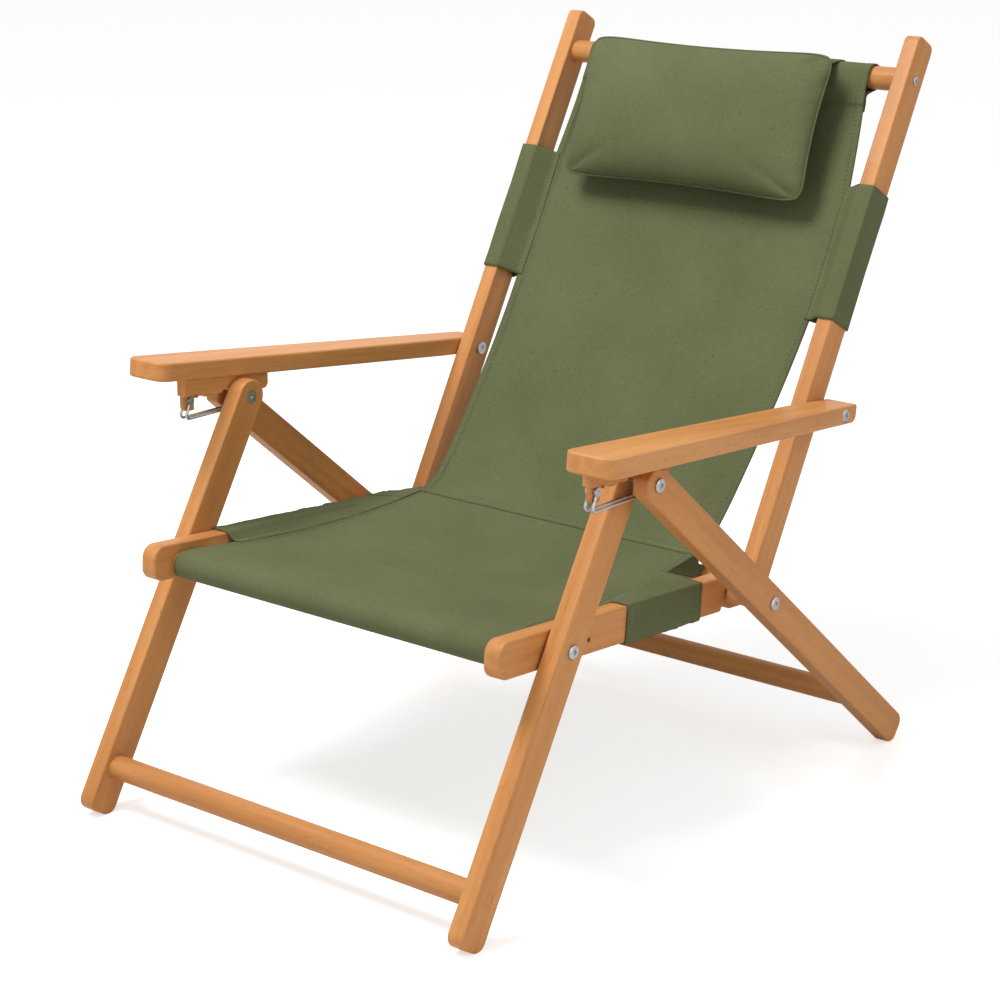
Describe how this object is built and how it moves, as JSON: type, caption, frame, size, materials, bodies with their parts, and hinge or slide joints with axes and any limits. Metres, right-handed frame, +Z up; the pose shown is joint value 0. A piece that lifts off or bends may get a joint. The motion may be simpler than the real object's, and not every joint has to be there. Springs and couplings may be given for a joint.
{
  "type": "folding camping chair",
  "caption": "Low folding chair: round-barred wooden frame with crossed legs, canvas sling seat and back, armrests on notched blocks and a head pillow on a flap.",
  "frame": {"origin": "on the ground, midway across and midway front to back of the standing chair", "axes": "+Z up; the sitter looks along -Y; X runs across the chair, +X at the sitter's left"},
  "size_m": [0.6176, 0.809, 0.7601],
  "materials": {
    "beech": "oiled",
    "canvas": "matt weave",
    "pillow_canvas": "matt weave",
    "steel": "satin"
  },
  "bodies": {
    "front_frame": {"front_leg_left": "beech", "front_leg_right": "beech", "front_stretcher": "beech", "stretcher_screw_left": "steel", "stretcher_screw_right": "steel", "stretcher_plug_left": "beech", "stretcher_plug_right": "beech", "rail_hinge_bolt_left": "steel", "rail_hinge_bolt_right": "steel", "rail_spacer_left": "beech", "rail_spacer_right": "beech", "leg_hinge_bolt_left": "steel", "leg_hinge_bolt_right": "steel"},
    "seat_frame": {"seat_rail_left": "beech", "seat_rail_right": "beech", "seat_front_bar": "beech", "seat_crossbar": "beech", "seat_panel": "canvas", "seam_flap": "canvas", "nose_brad_left": "steel", "nose_brad_right": "steel", "seat_sleeve_left": "canvas", "seat_sleeve_right": "canvas"},
    "rear_frame": {"rear_leg_left": "beech", "rear_leg_right": "beech", "rear_stretcher": "beech", "stop_pin_left": "steel", "stop_pin_right": "steel", "stop_sleeve_left": "beech", "stop_sleeve_right": "beech"},
    "back_pivot": {"back_hinge_bolt_left": "steel", "back_hinge_bolt_right": "steel", "back_washer_left": "steel", "back_washer_right": "steel"},
    "back_frame": {"upright_left": "beech", "upright_right": "beech", "top_bar": "beech", "back_panel": "canvas", "top_bar_screw_left": "steel", "top_bar_screw_right": "steel", "back_wing_left": "canvas", "back_wing_right": "canvas"},
    "head_pillow": {"pillow": "pillow_canvas", "pillow_flap": "canvas"},
    "arm_pivot_left": {"arm_hinge_bolt_left": "steel", "arm_washer_left": "steel"},
    "arm_left": {"armrest_left": "beech", "notch_block_left": "beech", "bail_pin_left": "steel"},
    "bail_loop_left": {"bail_left": "steel"},
    "arm_pivot_right": {"arm_hinge_bolt_right": "steel", "arm_washer_right": "steel"},
    "arm_right": {"armrest_right": "beech", "notch_block_right": "beech", "bail_pin_right": "steel"},
    "bail_loop_right": {"bail_right": "steel"}
  },
  "joints": [
    {"name": "seat_fold", "type": "hinge", "parent": "front_frame", "child": "seat_frame", "pos_m": [0, -0.2479, 0.251], "axis": [1, 0, 0], "range_deg": [0, 62]},
    {"name": "rear_leg_fold", "type": "hinge", "parent": "front_frame", "child": "rear_frame", "pos_m": [0, -0.1619, 0.397], "axis": [1, 0, 0], "range_deg": [-74.1, 0]},
    {"name": "back_fold", "type": "hinge", "parent": "seat_frame", "child": "back_pivot", "pos_m": [0, 0.1001, 0.224], "axis": [1, 0, 0], "range_deg": [-57.1, 0]},
    {"name": "back_recline", "type": "hinge", "parent": "back_pivot", "child": "back_frame", "pos_m": [0, 0.1001, 0.224], "axis": [1, 0, 0], "range_deg": [-20, 0]},
    {"name": "pillow_swing", "type": "hinge", "parent": "back_frame", "child": "head_pillow", "pos_m": [0, 0.37031, 0.71449], "axis": [1, 0, 0], "range_deg": [-45, 0]},
    {"name": "arm_fold_left", "type": "hinge", "parent": "back_frame", "child": "arm_pivot_left", "pos_m": [-0.252, 0.1921, 0.391], "axis": [1, 0, 0], "range_deg": [0, 57.1]},
    {"name": "arm_recline_left", "type": "hinge", "parent": "arm_pivot_left", "child": "arm_left", "pos_m": [-0.252, 0.1921, 0.391], "axis": [1, 0, 0], "range_deg": [0, 14.3]},
    {"name": "bail_swing_left", "type": "hinge", "parent": "arm_left", "child": "bail_loop_left", "pos_m": [-0.26, -0.2299, 0.402], "axis": [1, 0, 0], "range_deg": [-80, 0]},
    {"name": "arm_fold_right", "type": "hinge", "parent": "back_frame", "child": "arm_pivot_right", "pos_m": [0.252, 0.1921, 0.391], "axis": [1, 0, 0], "range_deg": [0, 57.1]},
    {"name": "arm_recline_right", "type": "hinge", "parent": "arm_pivot_right", "child": "arm_right", "pos_m": [0.252, 0.1921, 0.391], "axis": [1, 0, 0], "range_deg": [0, 14.3]},
    {"name": "bail_swing_right", "type": "hinge", "parent": "arm_right", "child": "bail_loop_right", "pos_m": [0.26, -0.2299, 0.402], "axis": [1, 0, 0], "range_deg": [-80, 0]}
  ],
  "couplings": [
    {"joint": "rear_leg_fold", "follows": "seat_fold", "ratio": -1.194},
    {"joint": "back_fold", "follows": "seat_fold", "ratio": -0.92},
    {"joint": "arm_fold_left", "follows": "seat_fold", "ratio": 0.92},
    {"joint": "arm_recline_left", "follows": "back_recline", "ratio": -0.71},
    {"joint": "arm_fold_right", "follows": "seat_fold", "ratio": 0.92},
    {"joint": "arm_recline_right", "follows": "back_recline", "ratio": -0.71}
  ]
}
